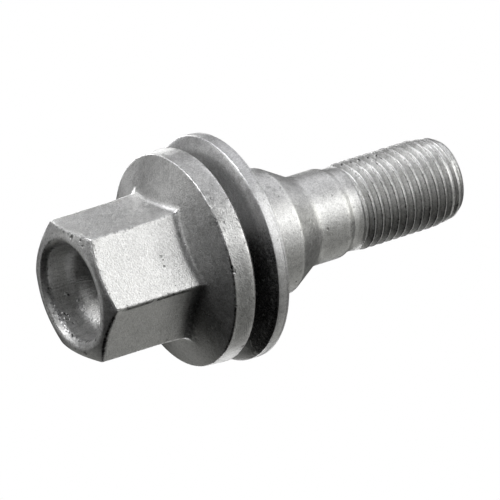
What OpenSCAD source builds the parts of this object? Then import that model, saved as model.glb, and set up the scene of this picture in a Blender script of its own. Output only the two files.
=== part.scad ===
// Wheel bolt with a hollow hexagon head, an integral flange, a seat cone and a loose captive washer.
// It stands on its thread end: the tip's centre is the origin and +Z runs from the tip to the head.

/* [Head] */
// Hexagon width across the flats, the wrench size
hex_af = 17; // [16.5:0.5:21]
// How much each corner of the hexagon is rounded off, measured along its radius
corner_cut = 0.17; // [0.05:0.02:0.5]
// Height from the flange's underside to the front of the head
head_h = 19.25; // [16:0.25:24]
// How far inside the flats the front face turns into its chamfer
crown_inset = 0.65; // [0.2:0.05:0.8]
// Angle between the front chamfer and the front face
crown_angle = 30; // [15:1:40]

/* [Recess in the head] */
// Diameter of the recess just inside its lip chamfer
recess_d = 13; // [10:0.1:13.2]
// Width of the chamfer round the recess's mouth
lip = 0.65; // [0.3:0.05:0.8]
// Draft angle of the recess wall on each side
recess_draft = 1.5; // [0:0.5:3]
// Depth from the front face to the end of the straight wall, where the bowl starts
recess_wall = 3; // [1:0.5:5]
// Depth from the front face to the middle of the bowl
recess_depth = 7; // [5.5:0.5:10]

/* [Flange] */
// Largest diameter of the flange, at the back of its rim
flange_d = 28.8; // [26:0.1:34]
// Thickness of the flange at its rim, back chamfer included
flange_t = 3.25; // [2.5:0.05:5]
// Draft angle of the rim, which narrows towards the head
rim_draft = 4; // [0:0.5:8]
// Size of the small chamfer behind the rim
rim_chamfer = 0.35; // [0.1:0.05:0.6]
// Slope of the flange's conical front face against a flat face
flange_slope = 25; // [10:1:32]

/* [Neck and seat] */
// Length from the flange's underside to the tip
under_head = 38.9; // [37:0.5:60]
// Diameter of the neck that the washer floats on
neck_d = 15.3; // [14:0.1:15.6]
// Length of the neck between the flange and the collar's shoulder
neck_l = 4.55; // [4:0.05:9]
// Radius of the fillet between the neck and the flange
neck_fillet = 0.3; // [0.1:0.05:0.5]
// Diameter of the collar, the wide end of the seat cone
collar_d = 17.1; // [17:0.1:19]
// Length of the collar's straight part
collar_l = 6.75; // [3:0.05:8]
// Chamfer on the collar's shoulder
shoulder_chamfer = 0.15; // [0.05:0.05:0.2]
// Included angle of the seat cone
seat_angle = 60; // [55:1:90]
// Diameter of the plain shank
shank_d = 12.15; // [12:0.05:13.5]

/* [Thread end] */
// Major diameter of the thread
thread_d = 11.9; // [11.5:0.05:11.95]
// Length from the tip to the first full thread
thread_l = 15.05; // [13:0.25:17]
// Diameter of the thread run-out groove
groove_d = 11.2; // [10.4:0.1:11.3]
// Length of the groove's slope beside the thread
groove_thread_side = 2; // [1:0.1:2.5]
// Length of the groove's slope beside the shank
groove_shank_side = 1.6; // [0.8:0.1:2]
// Length of the slightly tapered lead at the tip
lead_l = 3.75; // [2:0.05:5]
// Diameter of the lead at its narrow end, above the tip chamfer
lead_d = 11.1; // [10.6:0.1:11.4]
// Diameter of the flat tip
tip_d = 9.9; // [9:0.1:10.5]
// Length of the tip chamfer
tip_chamfer = 0.95; // [0.5:0.05:1.5]

/* [Washer] */
// How far the washer's edge reaches past the flange's
washer_overhang = 0.7; // [0:0.05:1.5]
// Thickness of the washer
washer_t = 2.4; // [1.5:0.05:3]
// Radial gap between the washer's bore and the neck
washer_play = 0.65; // [0.3:0.05:0.7]
// Clearance between the washer's bore chamfer and the neck's fillet
fillet_gap = 0.2; // [0.1:0.05:0.4]
// Radial width of the rolled edge on the washer's head side
washer_roll = 2; // [0.6:0.1:3]
// How far the rolled edge drops below the face at the rim
washer_drop = 0.7; // [0.2:0.1:1]
// Chamfer on the washer's other edges
washer_break = 0.12; // [0.05:0.01:0.2]

/* [Hidden] */
$fn = 180;
arc_steps = 6;
hex_fn = 6;
// How far one form runs into the next where they are one piece
overlap = 0.5;
coating = "silver";
washer_colour = "gainsboro";

hex_r = hex_af / 2 / cos(180 / hex_fn);
thread_r = thread_d / 2;
shank_r = shank_d / 2;
collar_r = collar_d / 2;
neck_r = neck_d / 2;
flange_r = flange_d / 2;
washer_bore_r = neck_r + washer_play;
washer_lead_in = neck_fillet + fillet_gap;

// Heights above the tip, from the tip upwards
groove_z = thread_l + groove_thread_side;
shank_z = groove_z + groove_shank_side;
shoulder_z = under_head - neck_l;
collar_z = shoulder_z - collar_l;
cone_z = collar_z - (collar_r - shank_r) / tan(seat_angle / 2);
back_z = under_head + rim_chamfer;
rim_z = under_head + flange_t;
rim_front_r = flange_r - (rim_z - back_z) * tan(rim_draft);
top_z = under_head + head_h;

// Points of a quarter arc about [x, z], from angle a to angle b
function arc(x, z, r, a, b) =
    [for (i = [0 : arc_steps]) let (t = a + (b - a) * i / arc_steps) [x + r * cos(t), z + r * sin(t)]];

// Half section of everything below the hexagon, from the tip up to the flange's conical front
module body_section() {
    root_r = hex_af / 2 - overlap;
    root_z = rim_z + (rim_front_r - root_r) * tan(flange_slope);
    polygon(concat(
        [
            [0, 0],
            [tip_d / 2, 0],
            [lead_d / 2, tip_chamfer],
            [thread_r, lead_l],
            [thread_r, thread_l],
            [groove_d / 2, groove_z],
            [shank_r, shank_z],
            [shank_r, cone_z],
            [collar_r, collar_z],
            [collar_r, shoulder_z - shoulder_chamfer],
            [collar_r - shoulder_chamfer, shoulder_z],
            [neck_r, shoulder_z]
        ],
        arc(neck_r + neck_fillet, under_head - neck_fillet, neck_fillet, 180, 90),
        [
            [flange_r - rim_chamfer, under_head],
            [flange_r, back_z],
            [rim_front_r, rim_z],
            [root_r, root_z],
            [0, root_z]
        ]
    ));
}

// Half section that trims the hexagon: rounded corners and the front chamfer
module head_section() {
    crown_r = hex_af / 2 - crown_inset;
    corner_r = hex_r - corner_cut;
    polygon([
        [0, back_z],
        [corner_r, back_z],
        [corner_r, top_z - (corner_r - crown_r) * tan(crown_angle)],
        [crown_r, top_z],
        [0, top_z]
    ]);
}

// Half section of the recess: lip chamfer, drafted wall and a bowl with a quarter ellipse for its section
module recess_section() {
    wall_r = recess_d / 2;
    end_r = wall_r - (recess_wall - lip) * tan(recess_draft);
    bowl_depth = recess_depth - recess_wall;
    polygon(concat(
        [
            [0, top_z + lip],
            [wall_r + 2 * lip, top_z + lip],
            [wall_r, top_z - lip]
        ],
        [for (i = [0 : arc_steps]) let (t = 90 * i / arc_steps)
            [end_r * cos(t), top_z - recess_wall - bowl_depth * sin(t)]]
    ));
}

// Half section of the washer, flat on the collar's shoulder
module washer_section() {
    outer_r = flange_r + washer_overhang;
    front_z = shoulder_z + washer_t;
    roll_r = (pow(washer_roll, 2) + pow(washer_drop, 2)) / (2 * washer_drop);
    roll_angle = asin(washer_roll / roll_r);
    polygon(concat(
        [
            [washer_bore_r + washer_break, shoulder_z],
            [outer_r - washer_break, shoulder_z],
            [outer_r, shoulder_z + washer_break]
        ],
        arc(outer_r - washer_roll, front_z - roll_r, roll_r, 90 - roll_angle, 90),
        [
            [washer_bore_r + washer_lead_in, front_z],
            [washer_bore_r, front_z - washer_lead_in],
            [washer_bore_r, shoulder_z + washer_break]
        ]
    ));
}

// Hexagon with two corners on the X axis, trimmed to the head's outline
module hex_head() {
    intersection() {
        translate([0, 0, back_z])
            cylinder(r = hex_r, h = top_z - back_z, $fn = hex_fn);
        rotate_extrude() head_section();
    }
}

// One forged piece: head, flange, neck, collar, seat cone, shank and thread end
module bolt() {
    color(coating)
        difference() {
            union() {
                rotate_extrude() body_section();
                hex_head();
            }
            rotate_extrude() recess_section();
        }
}

// Loose washer, which lies flat on the collar's shoulder and is free to rise to the flange
module washer() {
    color(washer_colour)
        rotate_extrude() washer_section();
}

bolt();
washer();
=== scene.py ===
"""Looks of the wheel bolt: hollow hexagon head, flange, captive washer, seat cone, shank and fine thread.

Lengths are in millimetres and angles in degrees until a mesh, a light or a camera is made.
The row frame stands the bolt on its thread tip, with +Z towards the head and +X towards a hexagon corner.
"""

import math

import bpy
import numpy as np
from mathutils import Matrix, Vector


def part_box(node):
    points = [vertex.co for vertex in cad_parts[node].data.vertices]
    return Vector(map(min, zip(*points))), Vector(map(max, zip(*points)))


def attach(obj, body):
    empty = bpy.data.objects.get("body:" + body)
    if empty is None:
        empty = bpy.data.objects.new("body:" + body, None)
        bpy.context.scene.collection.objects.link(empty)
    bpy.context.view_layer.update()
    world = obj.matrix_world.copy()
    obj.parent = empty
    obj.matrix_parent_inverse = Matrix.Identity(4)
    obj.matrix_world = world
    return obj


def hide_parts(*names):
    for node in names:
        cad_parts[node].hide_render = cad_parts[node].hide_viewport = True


MM = 0.001
MICRON = 0.001 * MM

# Head
HEX_AF = 17.0
HEAD_H = 19.25
HEX_FRONT_ROUND = 0.5
HEX_ROOT_ROUND = 0.3
ROOT_FILLET = 0.9
SWEEP_L = 4.0
SWEEP_OUT = 0.19
CROWN_INSET = 0.65
CROWN_ANGLE = 26.0

# Recess in the head: a short drafted wall and a bowl
RECESS_R = 6.5
LIP = 0.65
RECESS_DRAFT = 1.5
RECESS_WALL = 3.0
RECESS_DEPTH = 7.0
BOWL_ROWS = 16

# Flange
FLANGE_T = 3.25
RIM_DRAFT = 4.0
RIM_CHAMFER = 0.35
FLANGE_SLOPE = 25.0

# Neck and seat
NECK_R = 7.65
NECK_L = 4.55
NECK_FILLET = 0.3
COLLAR_R = 8.55
COLLAR_L = 6.75
SHOULDER_CHAMFER = 0.15
SEAT_ANGLE = 60.0
SHANK_R = 6.075

# Thread end. THREAD_CREST, THREAD_ROOT and THREAD_PHASE are in turns: half the crest's width,
# where the root begins beside it, and the crest's place at angle 0.
THREAD_R = 5.95
THREAD_L = 15.05
THREAD_PITCH = 1.25
THREAD_DEPTH = 0.7
THREAD_CREST = 0.06
THREAD_ROOT = 0.41
THREAD_PHASE = 0.17
THREAD_START = 16.15
RUN_OUT_L = 0.5
BLANK_R = 5.62
BLANK_L = 1.4
BLANK_TAPER = 0.04
GROOVE_THREAD_SIDE = 2.0
GROOVE_SHANK_SIDE = 1.6
LEAD_L = 3.75
LEAD_R = 5.55
TIP_R = 4.95
TIP_CHAMFER = 0.95

# Washer
WASHER_PLAY = 0.65
WASHER_ROLL = 2.0
WASHER_DROP = 0.7
WASHER_BREAK = 0.12
WASHER_LEAD_IN = 0.5
CLOSING_RING = 0.5
# Height of the line that blanking leaves on the washer's edge, the line's own width,
# and how far the edge below it is drawn in, at the line and at the seat face
BLANKING_LINE = 0.55
BLANKING_STEP = 0.06
BLANKING_IN = 0.05
SEAT_IN = 0.03

# Columns round the axis, and the extra ones beside each corner of the hexagon (degrees from it)
EVEN_COLUMNS = 180
CORNER_COLUMNS = (0.5, 1.0, 2.0, 2.6)
WASHER_COLUMNS = 240
# Rows: rings on the tip's flat and the break at its edge, the thread's rows, and the washer's rolled edge
TIP_RINGS = (1.5, 3.2, 4.4, 4.8)
TIP_BREAK = 0.04
FIRST_THREAD_ROW = 0.1
THREAD_ROWS_PER_TURN = 20
EDGE_ROWS = 8
# Distance of the rows that keep a rounded edge's shading off the faces beside it
GUARD = 0.35
# Largest share of a side that a corner's rounding takes
ROUNDING_SHARE = 0.48

# Camera, from a least-squares fit to the photograph: pinhole focal length in pixels of the 500 pixel frame,
# place of the flange's back edge, and the direction of the bolt's axis, from head to tip
FRAME_PIXELS = 500
FOCAL_PIXELS = 8122.1
FLANGE_BACK_AT = (-7.328, 0.624, 1049.482)
AXIS_RISE = 17.43
AXIS_AWAY = 29.29
HEX_ROLL = -14.85
SENSOR = 36.0
CLIP = (50.0, 20000.0)

FLOOR_HALF = 2000.0

# Soft panels round the bolt: name, compass angle, elevation, width, height (mm), watts, tint.
# These numbers were made by another program, apart from far_side and crown, which were set by hand:
# a least-squares fit of one-light renders to the photograph chose the panels and their strengths,
# which are rounded here.
PANEL_DISTANCE = 600.0
AIM_Z = 35.0
COOL = (0.97, 0.97, 1.0)
WARM = (1.0, 1.0, 0.96)
NEUTRAL = (1.0, 1.0, 1.0)
LIGHTS = (
    ("key", 288.0, -36.0, 340.0, 300.0, 0.45, NEUTRAL),
    ("key_low", 252.0, -36.0, 340.0, 300.0, 0.42, NEUTRAL),
    ("key_front", 268.0, -24.0, 200.0, 200.0, 0.18, NEUTRAL),
    ("key_top", 286.0, -24.0, 200.0, 200.0, 0.16, NEUTRAL),
    ("low_front", 216.0, -36.0, 340.0, 300.0, 0.13, WARM),
    ("low_side", 180.0, -36.0, 340.0, 300.0, 0.1, WARM),
    ("below", 144.0, -36.0, 340.0, 300.0, 0.17, WARM),
    ("below_head", 108.0, 14.0, 340.0, 280.0, 0.1, WARM),
    ("far_side", 118.0, -14.0, 340.0, 280.0, 0.6, NEUTRAL),
    ("back", 54.0, -12.0, 340.0, 280.0, 1.4, NEUTRAL),
    ("top", 324.0, 14.0, 340.0, 280.0, 1.3, COOL),
    ("top_back", 0.0, 14.0, 340.0, 280.0, 0.9, COOL),
    ("head_top", 345.0, 28.0, 200.0, 200.0, 0.55, NEUTRAL),
    ("head_back", 22.0, 42.0, 340.0, 320.0, 0.2, NEUTRAL),
    ("head_far", 68.0, 42.0, 340.0, 320.0, 0.2, NEUTRAL),
    ("crown", 350.0, 45.0, 240.0, 240.0, 0.45, NEUTRAL),
    ("crown_front", 290.0, 55.0, 240.0, 240.0, 0.17, NEUTRAL),
    ("tip_side", 270.0, -62.0, 400.0, 340.0, 0.9, WARM),
    ("tip_top", 324.0, -36.0, 340.0, 300.0, 0.27, COOL),
    ("tip_back", 0.0, -36.0, 340.0, 300.0, 0.36, COOL),
    ("tip_far", 0.0, -62.0, 400.0, 340.0, 0.33, COOL),
)

# Coating
BASE_GREY = 0.6
METALLIC = 0.8
ROUGHNESS = 0.36
BOLT_TINT = (1.0, 1.0, 0.985)
WASHER_TINT = (1.0, 1.0, 1.0)

# Noise: scales per metre (the streaks' scale per radian), detail, the middle of its values,
# how far it shifts a mark's outline, and the depth of the sandy grain
GRAIN_SCALE = 5200.0
MOTTLE_SCALE = 1500.0
BLOTCH_SCALE = 420.0
SPECK_SCALE = 2600.0
STREAK_SCALE = 16.0
RAGGED_SCALE = 3000.0
NOISE_DETAIL = 2.0
FINE_DETAIL = 3.0
NOISE_MIDDLE = 0.5
RAGGED = 0.4
BOLT_GRAIN = 0.03
WASHER_GRAIN = 0.02

# Ranges of noise over which a pattern sets in, and how much likelier a speck is on a worn edge.
# The break-up is the mottle's range and the shares of the painted shade and dark lines at its two ends.
SPECK_RANGE = (0.18, 0.26)
SPECK_ON_EDGE = 0.13
RUBBED_RANGE = (-0.05, 0.1)
WORN_GLINT_RANGE = (-0.12, 0.1)
SHADE_AND_DARK_LINE_RANGE = (0.2, 0.7)
SHADE_AND_DARK_LINE_BREAK_UP = (-0.2, 0.05, 0.5, 1.0)

# What each pattern adds to the tone (share of the base grey), the roughness and the relief.
# RELIEF is in mm, and GRAIN_RELIEF in shares of the grain's depth.
TONE = {
    "grain": 1.1,
    "mottle": 0.6,
    "blotch": 0.25,
    "rubbed": 0.14,
    # the crest's worn side, brightened also as a painted highlight
    "worn_glint": 0.3,
    "streaks": 0.6,
    "recess": -0.06,
    "specks": -0.45,
    # painted shade and dark lines along edges
    "shade_and_dark_lines": -0.85,
    "dark": -1.0,
}
DARKEST = 0.02
ROUGH = {"mottle": 0.25, "rubbed": -0.03, "specks": 0.15, "shade_and_dark_lines": 0.2, "recess": 0.04}
GRAIN_RELIEF = {"grain": 1.0, "mottle": 0.6}
RELIEF = {"streaks": 0.08, "specks": -0.02, "shade_and_dark_lines": -0.03}

# Wear on outward edges: the radius that counts as sharp, the wear's share on the bolt's body,
# and the heights over which that share sets in and ends
EDGE_RADIUS = 0.9
BODY_WEAR = 0.45
BODY_WEAR_Z = (16.0, 18.0, 36.0, 39.5)

# Darkening along an edge: first and last compass angle, strength, reach (mm)
# The first three are dark lines along the hexagon's front edge and the flange's rim
HEX_FRONT_DARK_LINE = (182.0, 240.0, 1.0, 0.45)
TOP_FLAT_DARK_LINE = (298.0, 352.0, 0.6, 0.3)
RIM_DARK_LINE = (190.0, 264.0, 0.8, 0.3)
# The next three are painted shade: on the flange's back edge beside the gap, at the hexagon's foot, and
# inside the recess's lip
BACK_EDGE_SHADE = (215.0, 345.0, 0.8, 0.3)
FOOT_SHADE = (176.0, 244.0, 0.55, 4.0)
LIP_SHADE = (60.0, 210.0, 0.6, 1.3)
# How far outside the hexagon the painted shade at its foot lies, and the degrees over which a line fades at
# its ends
FOOT_OUT = 0.8
LINE_FADE = 8.0
# Darkening beside a corner of the hexagon: compass angle, first and last height, strength, reach.
# A fade is the length or angle over which darkening sets in. A skin is how far off a surface a vertex may lie
# and still count as on it.
CORNER_DARK_BAND = (238.4, 45.5, 57.0, 0.75, 0.42)
CORNER_FADE = 1.0
CORNER_SKIN = 0.15
# Painted shade in the gap behind the flange: first and last compass angle, strength
GAP_SHADE = (155.0, 290.0, 0.85)
GAP_FADE = 50.0
GAP_SKIN = 0.02
NECK_SKIN = 0.1
RECESS_SKIN = 0.01
# A line of painted shade along the thread's crest, and the crest's worn side, which is also brightened as a
# painted highlight:
# place across the crest (turns, above 0 on the head's side), reach, strength
CREST_SHADE = (0.08, 0.1, 0.6)
WORN_GLINT_SIDE = (-0.05, 0.09, 1.0)
# Heights between which the crest shows both
CREST_LINES_FROM = TIP_CHAMFER + 0.3
CREST_LINES_TO = THREAD_START - 0.2

# A row of dents down one side of the thread, one on each crest: compass angle and height of the first,
# turn from one to the next, number, and then radius, size, darkening and depth as for a mark
DENT_ROW = (333.0, 15.1, 1.5, 5)
DENT = (THREAD_R - 0.2, 0.42, 0.8, 60)

# Share of a mark's size over which it keeps its full strength
MARK_CORE = 0.25
# Handling marks: compass angle, radius and height of the middle, size (mm), darkening (below 0 brighter),
# depth (microns, below 0 a bump). They were picked in the photograph. Another program made most of the
# places, by a ray through each pick. The other places and all other numbers were given one by one.
MARKS = (
    # the hexagon's bright flat
    (270.5, 8.5, 48.5, 0.26, 0.5, 30),
    (267.5, 8.5, 48.4, 0.2, 0.4, 20),
    (264.5, 8.5, 48.75, 0.18, 0.4, 20),
    (262.0, 8.57, 48.6, 0.22, 0.45, 30),
    # the front edge of the hexagon
    (319.6, 8.2, 57.95, 0.42, 0.75, 80),
    (333.5, 8.3, 57.9, 0.3, 0.6, 60),
    (346.0, 8.6, 57.7, 0.3, 0.6, 60),
    (326.0, 8.3, 57.9, 0.26, 0.6, 60),
    (308.0, 8.7, 57.65, 0.34, 0.6, 60),
    (302.7, 8.4, 57.8, 0.28, 0.5, 50),
    (166.8, 7.95, 58.1, 0.4, 0.6, 60),
    (150.0, 7.7, 58.15, 0.22, 0.55, 40),
    (196.6, 7.3, 58.15, 0.2, 0.5, 40),
    # inside the recess; the brighter bumps, below 0, are painted highlights
    (82.9, 6.44, 55.35, 0.3, -0.5, -130),
    (84.7, 6.43, 55.0, 0.22, 0.8, 60),
    (95.0, 6.2, 54.1, 0.24, 0.5, -90),
    (103.0, 6.48, 56.7, 0.24, -0.3, -120),
    (104.6, 6.47, 56.5, 0.2, 0.8, 60),
    (107.0, 6.47, 56.3, 0.22, 0.8, 60),
    (109.7, 6.48, 56.8, 0.24, -0.3, -120),
    (108.8, 6.46, 56.15, 0.22, 0.6, -100),
    (112.0, 6.47, 56.5, 0.2, 0.8, 60),
    (115.0, 6.49, 57.0, 0.2, 0.5, -80),
    (119.2, 6.47, 56.2, 0.2, 0.6, 60),
    # the flange's rim: nicks, then faint stains
    (290.0, 14.25, 41.45, 0.28, 0.5, 40),
    (285.6, 14.16, 42.1, 0.22, 0.0, -50),
    (276.5, 14.18, 42.1, 0.24, 0.0, -40),
    (275.2, 14.25, 41.35, 0.24, 0.5, 40),
    (251.3, 14.19, 42.1, 0.3, 0.6, 80),
    (249.0, 14.2, 41.95, 0.42, 0.6, 60),
    (230.0, 14.2, 42.0, 0.25, 0.6, 50),
    (294.0, 14.2, 41.9, 0.7, 0.28, 5),
    (288.5, 14.2, 41.75, 0.8, 0.25, 5),
    (282.5, 14.2, 41.9, 0.7, 0.3, 5),
    (277.5, 14.2, 41.9, 0.9, 0.35, 5),
    (272.0, 14.2, 42.0, 0.8, 0.3, 5),
    (262.0, 14.2, 42.0, 0.7, 0.3, 5),
    # the flange's front
    (216.7, 10.3, 44.0, 0.22, 0.7, 40),
    (216.5, 10.6, 43.8, 0.24, 0.7, 40),
    (216.4, 10.9, 43.65, 0.2, 0.7, 40),
    # the collar, the cone and the shank
    (205.6, 8.55, 28.4, 0.25, 0.5, 30),
    (291.5, 8.55, 28.9, 0.25, 0.45, 30),
    (318.7, 8.5, 27.65, 0.25, 0.45, 30),
    (303.0, 8.55, 29.4, 0.5, 0.25, 15),
    (298.5, 8.55, 29.0, 0.45, 0.3, 20),
    (294.5, 8.55, 29.3, 0.4, 0.25, 15),
    (283.0, 8.55, 31.0, 0.4, 0.25, 15),
    (244.8, 6.07, 22.3, 0.25, 0.45, 30),
    (282.8, 6.07, 20.2, 0.22, 0.45, 30),
    # the thread's crests; the brighter nicks, below 0, are painted highlights
    (249.4, 5.8, 12.3, 0.2, -0.3, -40),
    (243.9, 5.84, 9.75, 0.2, -0.3, -40),
    (220.0, 5.7, 2.2, 0.2, -0.3, -40),
    (282.5, 5.68, 4.95, 0.3, 0.6, 40),
    (289.6, 5.85, 8.65, 0.18, 0.5, 30),
    (286.0, 5.8, 8.65, 0.18, 0.5, 30),
    (282.6, 5.74, 8.7, 0.18, 0.5, 30),
)
WASHER_MARKS = ((199.4, 15.0, 36.0, 0.3, 0.6, 60),)


def smoothstep(t):
    """0 below 0, 1 above 1 and a smooth rise between."""
    t = np.clip(t, 0.0, 1.0)
    return t * t * (3.0 - 2.0 * t)


class Outline:
    """Rows of a surface that runs round the bolt's axis, each with a radius and a height for every column."""

    def __init__(self, angles):
        self.angles = angles
        self.rows = []

    def add(self, r, z):
        one = np.ones_like(self.angles)
        self.rows.append((r * one, z * one))

    def path(self, corners, arc_steps=4):
        """Adds a path of corners (r, z, rounding, rows before it). Its two ends aren't rounded."""
        one = np.ones_like(self.angles)
        pts = [np.stack([c[0] * one, c[1] * one]) for c in corners]
        last = pts[0]
        self.rows.append(tuple(last))
        for i in range(1, len(pts)):
            steps = corners[i][3]
            if i == len(pts) - 1 or corners[i][2] <= 0:
                starts, ends = pts[i], None
            else:
                before = pts[i] - pts[i - 1]
                after = pts[i + 1] - pts[i]
                lb = np.hypot(*before)
                la = np.hypot(*after)
                reach = np.minimum(corners[i][2], ROUNDING_SHARE * np.minimum(lb, la))
                starts = pts[i] - before / lb * reach
                ends = pts[i] + after / la * reach
            for k in range(1, steps + 1):
                t = k / steps
                self.rows.append(tuple(last + (starts - last) * t))
            if ends is None:
                last = starts
                continue
            for k in range(1, arc_steps + 1):
                t = k / arc_steps
                bent = (1 - t) ** 2 * starts + 2 * t * (1 - t) * pts[i] + t * t * ends
                self.rows.append(tuple(bent))
            last = ends

    def arrays(self):
        r = np.array([row[0] for row in self.rows])
        z = np.array([row[1] for row in self.rows])
        return r, z


def grid_mesh(name, x, y, z, first_pole=None, last_pole=None, loop=False):
    """A closed mesh from rows of points round an axis. Poles close its two ends, or loop joins them."""
    rows, columns = x.shape
    verts = np.stack([x, y, z], axis=-1).reshape(-1, 3) * MM
    index = np.arange(rows * columns).reshape(rows, columns)
    right = np.roll(index, -1, axis=1)
    lower, upper = index[:-1], index[1:]
    quads = np.stack([lower, right[:-1], right[1:], upper], axis=-1).reshape(-1, 4)
    faces = quads.tolist()
    if loop:
        faces += np.stack([index[-1], right[-1], right[0], index[0]], axis=-1).tolist()
    extra = []
    if first_pole is not None:
        pole = len(verts) + len(extra)
        extra.append(np.array(first_pole) * MM)
        faces += [[pole, int(b), int(a)] for a, b in zip(index[0], right[0])]
    if last_pole is not None:
        pole = len(verts) + len(extra)
        extra.append(np.array(last_pole) * MM)
        faces += [[pole, int(a), int(b)] for a, b in zip(index[-1], right[-1])]
    if extra:
        verts = np.vstack([verts, extra])
    mesh = bpy.data.meshes.new(name)
    mesh.from_pydata(verts.tolist(), [], faces)
    mesh.update()
    mesh.shade_smooth()
    obj = bpy.data.objects.new(name, mesh)
    bpy.context.scene.collection.objects.link(obj)
    return obj


def column_angles():
    """Even columns, with more of them beside the hexagon's corners."""
    even = [360.0 * i / EVEN_COLUMNS for i in range(EVEN_COLUMNS)]
    near = [60.0 * c + s * d for c in range(6) for d in CORNER_COLUMNS for s in (-1, 1)]
    return np.radians(sorted({round(a % 360.0, 4) for a in even + near}))


def hexagon_radius(angles, rounding):
    """Distance from the axis to the hexagon's surface, with rounded corners, one of them at angle 0."""
    off = np.abs((angles + math.pi / 6) % (math.pi / 3) - math.pi / 6)
    flat = HEX_AF / 2 / np.cos(math.pi / 6 - off)
    corner = HEX_AF / 2 / math.cos(math.pi / 6)
    centre = corner - rounding / math.sin(math.pi / 3)
    touch = math.atan2(0.5 * rounding, corner - rounding * math.tan(math.pi / 6) / 2)
    inside = np.clip(rounding**2 - (centre * np.sin(off)) ** 2, 0.0, None)
    return np.where(off < touch, centre * np.cos(off) + np.sqrt(inside), flat)


def from_crest(angles, z):
    """How far a point lies from the thread's nearest crest, in turns, above 0 on the head's side."""
    turn = z / THREAD_PITCH - angles / (2 * math.pi) - THREAD_PHASE
    return (turn + 0.5) % 1.0 - 0.5


def thread_radius(angles, z):
    """Radius of the right-hand thread at each column, for a row at height z, before the tip trims it."""
    height = np.clip((THREAD_ROOT - np.abs(from_crest(angles, z))) / (THREAD_ROOT - THREAD_CREST), 0.0, 1.0)
    groove_z = THREAD_L + GROOVE_THREAD_SIDE
    rolled = smoothstep((THREAD_START - z) / RUN_OUT_L)
    blank_z = [THREAD_L, groove_z - BLANK_L / 2, groove_z]
    blank = np.interp(z, blank_z, [THREAD_R, BLANK_R + BLANK_TAPER, BLANK_R])
    return np.maximum(blank - THREAD_DEPTH * (1.0 - height) * rolled, THREAD_R - THREAD_DEPTH)


def tip_envelope(z):
    """Largest radius at height z near the tip: its chamfer, the tapered lead, then the crests."""
    return float(np.interp(z, [0.0, TIP_CHAMFER, LEAD_L], [TIP_R, LEAD_R, THREAD_R]))


def recess_corners(top_z):
    """The recess below its lip: a short drafted wall, then a bowl whose section is a quarter ellipse."""
    wall_end_r = RECESS_R - (RECESS_WALL - LIP) * math.tan(math.radians(RECESS_DRAFT))
    corners = [((RECESS_R + wall_end_r) / 2, top_z - (LIP + RECESS_WALL) / 2, 0, 2)]
    for i in range(BOWL_ROWS):
        t = math.radians(90.0 * i / BOWL_ROWS)
        depth = RECESS_WALL + (RECESS_DEPTH - RECESS_WALL) * math.sin(t)
        corners.append((wall_end_r * math.cos(t), top_z - depth, 0, 1))
    return corners


def bolt_outline(angles, top_z, flange_r):
    """Every row of the bolt's surface, from the tip's middle up the outside and down into the recess."""
    under_z = top_z - HEAD_H
    groove_z = THREAD_L + GROOVE_THREAD_SIDE
    shank_z = groove_z + GROOVE_SHANK_SIDE
    shoulder_z = under_z - NECK_L
    collar_z = shoulder_z - COLLAR_L
    cone_z = collar_z - (COLLAR_R - SHANK_R) / math.tan(math.radians(SEAT_ANGLE / 2))
    back_z = under_z + RIM_CHAMFER
    rim_z = under_z + FLANGE_T
    rim_r = flange_r - (rim_z - back_z) * math.tan(math.radians(RIM_DRAFT))
    hex_r = hexagon_radius(angles, HEX_FRONT_ROUND)
    hex_root_r = hexagon_radius(angles, HEX_ROOT_ROUND)
    crown_r = HEX_AF / 2 - CROWN_INSET
    chamfer_z = top_z - (hex_r - crown_r) * math.tan(math.radians(CROWN_ANGLE))
    root_r = hex_root_r + SWEEP_OUT
    slope = math.tan(math.radians(FLANGE_SLOPE))
    root_z = rim_z + (rim_r - root_r) * slope

    out = Outline(angles)
    for r in TIP_RINGS:
        out.add(r, 0.0)
    out.add(TIP_R - TIP_BREAK, TIP_BREAK / 2)
    step = THREAD_PITCH / THREAD_ROWS_PER_TURN
    for z in np.arange(FIRST_THREAD_ROW, groove_z - step / 2, step):
        out.add(np.minimum(thread_radius(angles, z), tip_envelope(z)), z)
    out.path(
        [
            (BLANK_R, groove_z, 0, 0),
            (BLANK_R + BLANK_TAPER / 2, groove_z + BLANK_L / 2, 0.15, 2),
            (SHANK_R, shank_z, 0.4, 2),
            (SHANK_R, cone_z, 0.7, 6),
            (COLLAR_R, collar_z, 0.3, 8),
            (COLLAR_R, shoulder_z - SHOULDER_CHAMFER, 0.05, 5),
            (COLLAR_R - SHOULDER_CHAMFER, shoulder_z, 0.05, 1),
            (NECK_R, shoulder_z, 0.1, 2),
            (NECK_R, under_z - NECK_FILLET, 0.1, 4),
            (NECK_R + NECK_FILLET, under_z, 0.1, 1),
            (flange_r - RIM_CHAMFER, under_z, 0.1, 6),
            (flange_r, back_z, 0.22, 2),
            (rim_r, rim_z - GUARD, 0, 5),
            (rim_r, rim_z, 0.14, 1),
            (rim_r - GUARD, rim_z + GUARD * slope, 0, 1),
            (root_r, root_z, ROOT_FILLET, 14),
            (hex_root_r, root_z + SWEEP_L, 1.0, 3),
            (hex_r, chamfer_z - 2 * GUARD, 0, 11),
            (hex_r, chamfer_z, 0.2, 1),
            (crown_r, top_z, 0.45, 4),
            (RECESS_R + LIP, top_z, 0.14, 2),
            (RECESS_R, top_z - LIP, 0.35, 2),
        ]
        + recess_corners(top_z)
    )
    return out.arrays()


def build_bolt(top_z, flange_r):
    angles = column_angles()
    r, z = bolt_outline(angles, top_z, flange_r)
    x = r * np.cos(angles)
    y = r * np.sin(angles)
    return grid_mesh("bolt_body", x, y, z, first_pole=(0, 0, 0), last_pole=(0, 0, top_z - RECESS_DEPTH))


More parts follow.
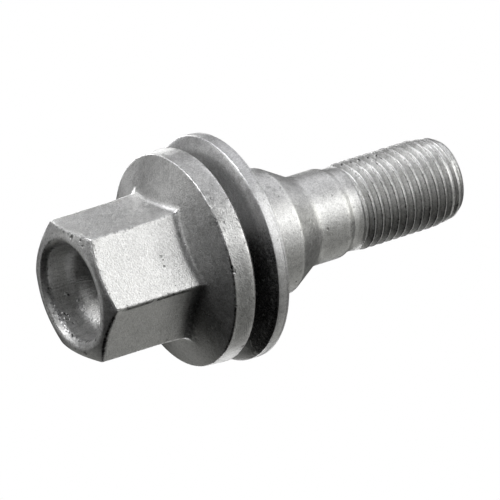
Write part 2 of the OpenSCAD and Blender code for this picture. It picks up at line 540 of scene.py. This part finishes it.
def rolled_edge(outer_r, top):
    """The washer's edge on its head side: an arc that leaves the face smoothly and ends at the rim."""
    radius = (WASHER_ROLL**2 + WASHER_DROP**2) / (2 * WASHER_DROP)
    turn = math.asin(WASHER_ROLL / radius)
    points = []
    for i in range(EDGE_ROWS + 1):
        t = turn * (1 - i / EDGE_ROWS)
        points.append((outer_r - WASHER_ROLL + radius * math.sin(t), top - radius * (1 - math.cos(t))))
    return points


def build_washer(low, high):
    """The washer as its solid lies: flat on the shoulder."""
    outer_r = (high.y - low.y) / MM / 2
    bottom, top = low.z / MM, high.z / MM
    bore_r = NECK_R + WASHER_PLAY
    angles = np.radians([360.0 * i / WASHER_COLUMNS for i in range(WASHER_COLUMNS)])
    out = Outline(angles)
    middle = (bore_r + outer_r) / 2
    edge = rolled_edge(outer_r, top)
    out.path(
        [
            (middle, bottom, 0, 0),
            (outer_r - WASHER_BREAK, bottom, 0.05, 5),
            (outer_r - SEAT_IN, bottom + WASHER_BREAK, 0.05, 1),
            (outer_r - BLANKING_IN, bottom + BLANKING_LINE - BLANKING_STEP, 0.02, 3),
            (outer_r, bottom + BLANKING_LINE, 0.02, 1),
            (*edge[0], 0.1, 2),
            *((r, z, 0, 1) for r, z in edge[1:]),
            (bore_r + WASHER_LEAD_IN, top, 0.15, 6),
            (bore_r, top - WASHER_LEAD_IN, 0.15, 1),
            (bore_r, bottom + WASHER_BREAK, 0.05, 3),
            (bore_r + WASHER_BREAK, bottom, 0.05, 1),
            (middle - CLOSING_RING, bottom, 0, 4),
        ]
    )
    r, z = out.arrays()
    return grid_mesh("washer_ring", r * np.cos(angles), r * np.sin(angles), z, loop=True)


def paint(obj, name, values):
    """Stores one number for each vertex, for the material to read."""
    layer = obj.data.attributes.new(name, "FLOAT", "POINT")
    layer.data.foreach_set("value", np.asarray(values, dtype=np.float32))


def places(obj):
    co = np.empty(len(obj.data.vertices) * 3)
    obj.data.vertices.foreach_get("co", co)
    return co.reshape(-1, 3) / MM


def paint_edges(obj):
    """Paints 1 where the surface turns outwards on a small radius, and 0 on flats and in hollows."""
    mesh = obj.data
    co = places(obj)
    normals = np.empty(len(co) * 3)
    mesh.vertices.foreach_get("normal", normals)
    normals = normals.reshape(-1, 3)
    pairs = np.empty(len(mesh.edges) * 2, dtype=np.int64)
    mesh.edges.foreach_get("vertices", pairs)
    a, b = pairs.reshape(-1, 2).T
    step = co[b] - co[a]
    bend = ((normals[b] - normals[a]) * step).sum(1) / (step**2).sum(1)
    sharp = np.zeros(len(co))
    np.maximum.at(sharp, a, bend)
    np.maximum.at(sharp, b, bend)
    wear = np.interp(co[:, 2], BODY_WEAR_Z, [1.0, BODY_WEAR, BODY_WEAR, 1.0])
    paint(obj, "edge", np.clip(sharp * EDGE_RADIUS, 0.0, 1.0) * wear)


def paint_recess(obj, top_z):
    """Paints 1 on the recess's wall and bowl."""
    co = places(obj)
    depth = top_z - co[:, 2]
    inside = (depth > 0.0) & (depth < RECESS_DEPTH + RECESS_SKIN)
    paint(obj, "recess", inside & (np.hypot(co[:, 0], co[:, 1]) < RECESS_R + RECESS_SKIN))


def closeness(distance, reach):
    """1 at distance 0, falling evenly to 0 at reach."""
    return np.clip(1.0 - np.abs(distance) / reach, 0.0, 1.0)


def between(value, first, last, fade):
    """1 between first and last, falling smoothly to 0 at both."""
    return smoothstep((value - first) / fade) * smoothstep((last - value) / fade)


def paint_shade_and_dark_lines(obj, top_z, flange_r, washer_top):
    """Paints darkening: dark lines along edges, and painted shade at the hexagon's foot, the flange's back
    edge, the recess's lip, along the thread's crest and in the gap behind the flange.

    The worn side of the thread's crest, which also carries a painted highlight, is painted with it.
    """
    co = places(obj)
    z = co[:, 2]
    compass = np.arctan2(co[:, 1], co[:, 0])
    r = np.hypot(co[:, 0], co[:, 1])
    degrees = np.degrees(compass) % 360.0
    under_z = top_z - HEAD_H
    hex_r = hexagon_radius(compass, HEX_FRONT_ROUND)
    chamfer_z = top_z - (hex_r - HEX_AF / 2 + CROWN_INSET) * math.tan(math.radians(CROWN_ANGLE))
    rim_r = flange_r - (FLANGE_T - RIM_CHAMFER) * math.tan(math.radians(RIM_DRAFT))
    foot_z = under_z + FLANGE_T + (rim_r - hex_r) * math.tan(math.radians(FLANGE_SLOPE))
    # Dark lines along the hexagon's front edge and the flange's rim, and painted shade on the flange's back
    # edge, at the hexagon's foot and inside the recess's lip
    lines = (
        (HEX_FRONT_DARK_LINE, hex_r, chamfer_z),
        (TOP_FLAT_DARK_LINE, hex_r, chamfer_z),
        (RIM_DARK_LINE, rim_r, under_z + FLANGE_T),
        (BACK_EDGE_SHADE, flange_r - RIM_CHAMFER / 2, under_z + RIM_CHAMFER / 2),
        (FOOT_SHADE, hex_r + FOOT_OUT, foot_z),
        (LIP_SHADE, RECESS_R, top_z - LIP),
    )
    total = np.zeros(len(co))
    for (first, last, strength, reach), line_r, line_z in lines:
        near = closeness(np.hypot(r - line_r, z - line_z), reach)
        total = np.maximum(total, near * between(degrees, first, last, LINE_FADE) * strength)

    # Darkening beside a corner of the hexagon
    angle, low, high, strength, reach = CORNER_DARK_BAND
    beside = closeness((degrees - angle) * np.radians(r), reach) * (r > hex_r - CORNER_SKIN)
    total = np.maximum(total, beside * between(z, low, high, CORNER_FADE) * strength)

    # A line of painted shade along the thread's crest, on its head side
    crest = from_crest(compass, z)
    in_thread = (z > CREST_LINES_FROM) & (z < CREST_LINES_TO)
    place, reach, strength = CREST_SHADE
    total = np.maximum(total, closeness(crest - place, reach) * in_thread * strength)
    # The crest's worn side, brightened also as a painted highlight
    place, reach, strength = WORN_GLINT_SIDE
    paint(obj, "worn_glint", closeness(crest - place, reach) * in_thread * strength)

    # Painted shade in the gap behind the flange, on the neck, the flange's back and the washer's face
    first, last, strength = GAP_SHADE
    inside = (z > washer_top - WASHER_DROP + GAP_SKIN) & (z < under_z + GAP_SKIN) & (r > NECK_R - NECK_SKIN)
    total = np.maximum(total, inside * between(degrees, first, last, GAP_FADE) * strength)
    paint(obj, "shade_and_dark_lines", total)


class Shader:
    """Short calls that add and link a material's nodes. Inputs are numbers, tuples or nodes' outputs."""

    def __init__(self, name):
        self.material = bpy.data.materials.new(name)
        self.material.use_nodes = True
        self.tree = self.material.node_tree
        self.surface = self.tree.nodes["Principled BSDF"]

    def give(self, node, inputs):
        for key, value in inputs.items():
            if isinstance(value, bpy.types.NodeSocket):
                self.tree.links.new(value, node.inputs[key])
            else:
                node.inputs[key].default_value = value

    def add(self, kind, inputs, out=0, **settings):
        node = self.tree.nodes.new("ShaderNode" + kind)
        for key, value in settings.items():
            setattr(node, key, value)
        self.give(node, inputs)
        return node.outputs[out]

    def math(self, operation, a, b=0.0):
        return self.add("Math", {0: a, 1: b}, operation=operation)

    def ramp(self, value, low, high, to_low=0.0, to_high=1.0):
        """Maps value from low..high to to_low..to_high with a smooth rise, and holds it outside."""
        inputs = {"Value": value, "From Min": low, "From Max": high, "To Min": to_low, "To Max": to_high}
        return self.add("MapRange", inputs, interpolation_type="SMOOTHSTEP")

    def noise(self, vector, scale, detail=NOISE_DETAIL):
        """Noise that is above 0 as often as below it."""
        noise = self.add("TexNoise", {"Vector": vector, "Scale": scale, "Detail": detail})
        return self.math("SUBTRACT", noise, NOISE_MIDDLE)

    def mix(self, start, patterns, strengths, unit=1.0):
        """Adds each named pattern, times its strength, to start."""
        total = start
        for name, strength in strengths.items():
            inputs = {0: patterns[name], 1: strength * unit, 2: total}
            total = self.add("Math", inputs, operation="MULTIPLY_ADD")
        return total

    def attribute(self, name):
        return self.add("Attribute", {}, out="Fac", attribute_name=name)


def add_marks(shader, where, marks):
    """Sums of all marks at each point: how much darker it is, and its height in metres."""
    dark, height = 0.0, 0.0
    for angle, radius, z, size, darkening, depth in marks:
        t = math.radians(angle)
        middle = (radius * math.cos(t) * MM, radius * math.sin(t) * MM, z * MM)
        away = shader.add("VectorMath", {0: where, 1: middle}, out="Value", operation="DISTANCE")
        near = shader.ramp(away, MARK_CORE * size * MM, size * MM, 1.0, 0.0)
        dark = shader.add("Math", {0: near, 1: darkening, 2: dark}, operation="MULTIPLY_ADD")
        height = shader.add("Math", {0: near, 1: -depth * MICRON, 2: height}, operation="MULTIPLY_ADD")
    return dark, height


def coating(name, tint, marks, grain_depth):
    """Matt zinc flake on forged steel: sandy grain, faint blotches, worn edges, marks, dark lines along
    edges, painted shade, and painted highlights on the thread's crests and on some marks.
    """
    shader = Shader(name)
    where = shader.add("TexCoord", {}, out="Object")
    grain = shader.noise(where, GRAIN_SCALE)
    mottle = shader.noise(where, MOTTLE_SCALE, FINE_DETAIL)
    blotch = shader.noise(where, BLOTCH_SCALE)

    colours = shader.add("TexNoise", {"Vector": where, "Scale": RAGGED_SCALE}, out="Color")
    shift = shader.add("VectorMath", {0: colours, 1: (NOISE_MIDDLE,) * 3}, operation="SUBTRACT")
    ragged = shader.add("VectorMath", {0: shift, 1: (RAGGED * MM,) * 3, 2: where}, operation="MULTIPLY_ADD")
    dark, height = add_marks(shader, ragged, marks)

    edge = shader.attribute("edge")
    specks = shader.noise(where, SPECK_SCALE)
    specks = shader.math("ADD", specks, shader.math("MULTIPLY", edge, SPECK_ON_EDGE))
    # Painted shade and dark lines along edges, broken up by the mottle
    break_up = shader.ramp(mottle, *SHADE_AND_DARK_LINE_BREAK_UP)
    shade_and_dark_lines = shader.math("MULTIPLY", shader.attribute("shade_and_dark_lines"), break_up)

    recess = shader.attribute("recess")
    flat_place = shader.add("VectorMath", {0: where, 1: (1.0, 1.0, 0.0)}, operation="MULTIPLY")
    round_place = shader.add("VectorMath", {0: flat_place}, operation="NORMALIZE")
    streaks = shader.noise(round_place, STREAK_SCALE, FINE_DETAIL)

    patterns = {
        "grain": grain,
        "mottle": mottle,
        "blotch": blotch,
        "rubbed": shader.math("MULTIPLY", edge, shader.ramp(blotch, *RUBBED_RANGE)),
        # the crest's worn side, brightened also as a painted highlight
        "worn_glint": shader.math("MULTIPLY", shader.attribute("worn_glint"), shader.ramp(mottle, *WORN_GLINT_RANGE)),
        "streaks": shader.math("MULTIPLY", streaks, recess),
        "recess": recess,
        "specks": shader.ramp(specks, *SPECK_RANGE),
        "shade_and_dark_lines": shader.ramp(shade_and_dark_lines, *SHADE_AND_DARK_LINE_RANGE),
        "dark": dark,
    }
    tone = shader.mix(1.0, patterns, TONE)
    value = shader.math("MAXIMUM", shader.math("MULTIPLY", tone, BASE_GREY), DARKEST)
    colour = shader.add("VectorMath", {0: tint, "Scale": value}, operation="SCALE")
    rough = shader.mix(ROUGHNESS, patterns, ROUGH)
    relief = shader.mix(height, patterns, GRAIN_RELIEF, grain_depth * MM)
    relief = shader.mix(relief, patterns, RELIEF, MM)
    bump = shader.add("Bump", {"Height": relief, "Distance": 1.0, "Strength": 1.0}, out="Normal")
    shader.give(
        shader.surface,
        {"Base Color": colour, "Roughness": rough, "Normal": bump, "Metallic": METALLIC},
    )
    return shader.material


def thread_dents():
    """A row of small dents down one side of the thread, one on each crest."""
    angle, z, turn, count = DENT_ROW
    radius, *rest = DENT
    return tuple((angle - turn * i, radius, z - THREAD_PITCH * i, *rest) for i in range(count))


def row_axes():
    """The row frame's axes and origin in the photograph's camera frame: x right, y down, z away."""
    rise, away, roll = (math.radians(v) for v in (AXIS_RISE, AXIS_AWAY, HEX_ROLL))
    axis = Vector((math.cos(away) * math.cos(rise), -math.cos(away) * math.sin(rise), math.sin(away)))
    up = Vector((0.0, -1.0, 0.0))
    side = (up - up.dot(axis) * axis).normalized()
    other = axis.cross(side)
    x_row = math.cos(roll) * side + math.sin(roll) * other
    z_row = -axis
    return x_row, z_row.cross(x_row), z_row, axis


def make_camera(back_z):
    x_row, y_row, z_row, axis = row_axes()
    origin = Vector(FLANGE_BACK_AT) + back_z * axis
    to_row = Matrix((x_row, y_row, z_row))
    place = to_row @ (-origin) * MM
    right, down, away = to_row.col
    turn = Matrix((right, -down, -away)).transposed()
    data = bpy.data.cameras.new("photo_camera")
    data.sensor_width = SENSOR
    data.lens = FOCAL_PIXELS / FRAME_PIXELS * SENSOR
    data.clip_start, data.clip_end = (distance * MM for distance in CLIP)
    camera = bpy.data.objects.new("photo_camera", data)
    camera.matrix_world = Matrix.LocRotScale(place, turn.to_quaternion(), None)
    bpy.context.scene.collection.objects.link(camera)
    bpy.context.scene.camera = camera


def make_lights():
    target = Vector((0.0, 0.0, AIM_Z * MM))
    for name, compass, elevation, width, height, watts, tint in LIGHTS:
        c, e = math.radians(compass), math.radians(elevation)
        way = Vector((math.cos(c) * math.cos(e), math.sin(c) * math.cos(e), math.sin(e)))
        wide = Vector((0.0, 0.0, 1.0)).cross(way).normalized()
        data = bpy.data.lights.new(name, "AREA")
        data.shape = "RECTANGLE"
        data.size, data.size_y = width * MM, height * MM
        data.energy = watts
        data.color = tint
        light = bpy.data.objects.new(name, data)
        light.location = target + way * PANEL_DISTANCE * MM
        light.rotation_euler = Matrix((wide, way.cross(wide), way)).transposed().to_euler()
        light.visible_camera = False
        bpy.context.scene.collection.objects.link(light)


def make_world():
    """Seen white by the camera only."""
    world = bpy.data.worlds.new("studio")
    world.use_nodes = True
    bpy.context.scene.world = world
    nodes, links = world.node_tree.nodes, world.node_tree.links
    path = nodes.new("ShaderNodeLightPath")
    links.new(path.outputs["Is Camera Ray"], nodes["Background"].inputs["Strength"])
    nodes["Background"].inputs["Color"].default_value = (1.0, 1.0, 1.0, 1.0)


def make_floor():
    """A pale floor under the tip. It is seen, and the studio's light passes it."""
    half = FLOOR_HALF * MM
    corners = [(-half, -half, 0), (half, -half, 0), (half, half, 0), (-half, half, 0)]
    mesh = bpy.data.meshes.new("floor")
    mesh.from_pydata(corners, [], [(0, 1, 2, 3)])
    floor = bpy.data.objects.new("floor", mesh)
    bpy.context.scene.collection.objects.link(floor)
    shader = Shader("pale_floor")
    shader.give(
        shader.surface,
        {
            "Base Color": (0.0, 0.0, 0.0, 1.0),
            "Specular IOR Level": 0.0,
            "Emission Color": (1.0, 1.0, 1.0, 1.0),
            "Emission Strength": 1.0,
        },
    )
    mesh.materials.append(shader.material)
    floor.visible_glossy = False
    floor.visible_diffuse = False
    floor.visible_shadow = False


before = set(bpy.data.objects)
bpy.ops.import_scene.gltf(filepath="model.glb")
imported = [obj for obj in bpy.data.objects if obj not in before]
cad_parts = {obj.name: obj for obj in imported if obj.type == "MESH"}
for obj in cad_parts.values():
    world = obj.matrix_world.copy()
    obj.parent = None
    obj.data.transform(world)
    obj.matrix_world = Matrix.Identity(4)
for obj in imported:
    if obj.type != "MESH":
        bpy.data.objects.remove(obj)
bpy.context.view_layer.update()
bolt_low, bolt_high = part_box("bolt")
washer_low, washer_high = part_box("washer")
top_z = bolt_high.z / MM
flange_r = (bolt_high.y - bolt_low.y) / MM / 2

bolt = build_bolt(top_z, flange_r)
washer = build_washer(washer_low, washer_high)
# Each piece gets its worn edges, dark lines, painted shade and the crest's painted highlight
for piece in (bolt, washer):
    paint_edges(piece)
    paint_shade_and_dark_lines(piece, top_z, flange_r, washer_high.z / MM)
paint_recess(bolt, top_z)
bolt.data.materials.append(coating("zinc_flake", BOLT_TINT, MARKS + thread_dents(), BOLT_GRAIN))
washer.data.materials.append(coating("zinc_flake_washer", WASHER_TINT, WASHER_MARKS, WASHER_GRAIN))
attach(bolt, "bolt")
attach(washer, "washer")
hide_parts("bolt")
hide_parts("washer")

make_camera(top_z - HEAD_H + RIM_CHAMFER)
make_lights()
make_world()
make_floor()
bpy.context.scene.view_settings.view_transform = "Standard"
